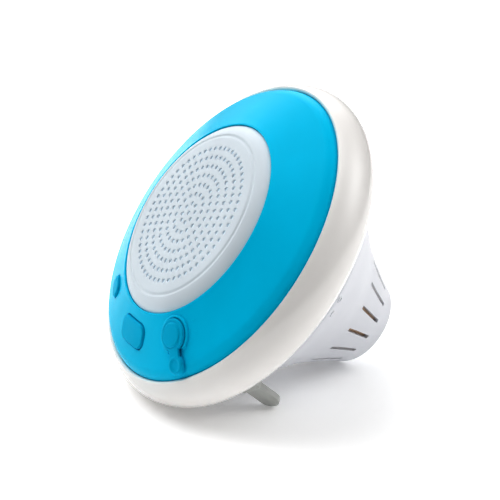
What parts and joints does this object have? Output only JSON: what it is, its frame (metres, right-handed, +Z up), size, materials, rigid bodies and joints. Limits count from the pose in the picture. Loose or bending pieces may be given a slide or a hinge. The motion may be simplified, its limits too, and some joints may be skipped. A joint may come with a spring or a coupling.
{
  "type": "party speaker",
  "caption": "Floating party speaker: blue ring face with a frosted light dome, white float ring, slotted bell tail and fold-out stand legs.",
  "frame": {"origin": "middle of the footprint's bounding box on the floor, in the standing pose", "axes": "+Z up; the face looks towards -Y and up, 37.5 degrees above the floor; +X is the speaker's width, towards the charging flap's side; the plane X = 0 is the plane of symmetry of the shells"},
  "size_m": [0.17, 0.1402, 0.1409],
  "materials": {
    "blue_gloss": "glossy moulded plastic",
    "lens_frosted": "frosted translucent plastic",
    "ring_white": "glossy warm white plastic",
    "tail_white": "satin cool white plastic",
    "leg_grey": "satin grey plastic",
    "blue_rubber": "soft blue rubber",
    "black_plastic": "matt black plastic",
    "seal_rubber": "black seal rubber",
    "circuit_green": "green solder mask",
    "led_white": "clear lens over white package",
    "paper_cone": "matt pressed cone",
    "steel": "plated steel",
    "ferrite": "dark sintered ferrite",
    "copper": "enamelled copper",
    "battery_wrap": "shrink wrap",
    "wire_red": "insulated lead"
  },
  "bodies": {
    "housing": {"amplifier_chip": "black_plastic", "baffle_plate": "black_plastic", "battery_lead": "wire_red", "battery_pack": "battery_wrap", "bluetooth_module": "steel", "charge_socket": "steel", "deck_seal": "seal_rubber", "driver_basket": "black_plastic", "driver_magnet": "ferrite", "driver_screw_1": "steel", "driver_screw_2": "steel", "driver_screw_3": "steel", "driver_screw_4": "steel", "driver_spider": "paper_cone", "driver_surround": "seal_rubber", "driver_top_plate": "steel", "driver_yoke": "steel", "electronics_pod": "black_plastic", "fascia": "blue_gloss", "fascia_screw_1": "steel", "fascia_screw_2": "steel", "fascia_screw_3": "steel", "fascia_screw_4": "steel", "flap_anchor": "blue_rubber", "float_deck": "black_plastic", "float_ring": "ring_white", "led_1": "led_white", "led_2": "led_white", "led_3": "led_white", "led_4": "led_white", "led_5": "led_white", "led_6": "led_white", "led_board": "circuit_green", "leg_bracket_left": "leg_grey", "leg_bracket_right": "leg_grey", "leg_pin_left": "steel", "leg_pin_right": "steel", "lens_dome": "lens_frosted", "lens_gasket": "seal_rubber", "light_lead": "wire_red", "main_board": "circuit_green", "mode_board": "circuit_green", "mode_switch": "black_plastic", "pod_seal": "seal_rubber", "port_board": "circuit_green", "power_board": "circuit_green", "power_switch": "black_plastic", "speaker_lead": "wire_red"},
    "cone": {"driver_cone": "paper_cone", "driver_dust_cap": "paper_cone", "voice_coil": "copper"},
    "power_button": {"power_button": "blue_rubber"},
    "mode_button": {"mode_button": "blue_rubber"},
    "port_flap": {"port_flap": "blue_rubber"},
    "tail": {"tail_bell": "tail_white", "tail_weight": "steel", "weight_screw": "steel"},
    "leg_right": {"stand_leg_right": "leg_grey"},
    "leg_left": {"stand_leg_left": "leg_grey"}
  },
  "joints": [
    {"name": "cone_travel", "type": "slide", "parent": "housing", "child": "cone", "axis": [0, -0.7934, 0.6088], "range_m": [-0.0012, 0.0012], "stiffness_N_per_m": 900},
    {"name": "power_button_press", "type": "slide", "parent": "housing", "child": "power_button", "axis": [-0.0056, 0.9713, -0.2377], "range_m": [0, 0.001], "stiffness_N_per_m": 500},
    {"name": "mode_button_press", "type": "slide", "parent": "housing", "child": "mode_button", "axis": [0.2339, 0.9258, -0.2971], "range_m": [0, 0.001], "stiffness_N_per_m": 500},
    {"name": "port_flap_hinge", "type": "hinge", "parent": "housing", "child": "port_flap", "pos_m": [0.04079, -0.06258, 0.03616], "axis": [0.8161, 0.3518, 0.4584], "range_deg": [0, 110]},
    {"name": "tail_twist", "type": "hinge", "parent": "housing", "child": "tail", "pos_m": [0, -0.0218, 0.0775], "axis": [0, -0.7934, 0.6088], "range_deg": [0, 20]},
    {"name": "leg_right_fold", "type": "hinge", "parent": "housing", "child": "leg_right", "pos_m": [0.03849, -0.0257, 0.01588], "axis": [-0.5976, 0.5619, 0.572], "range_deg": [0, 90]},
    {"name": "leg_left_fold", "type": "hinge", "parent": "housing", "child": "leg_left", "pos_m": [-0.03849, -0.0257, 0.01588], "axis": [-0.5976, -0.5619, -0.572], "range_deg": [0, 90]}
  ]
}
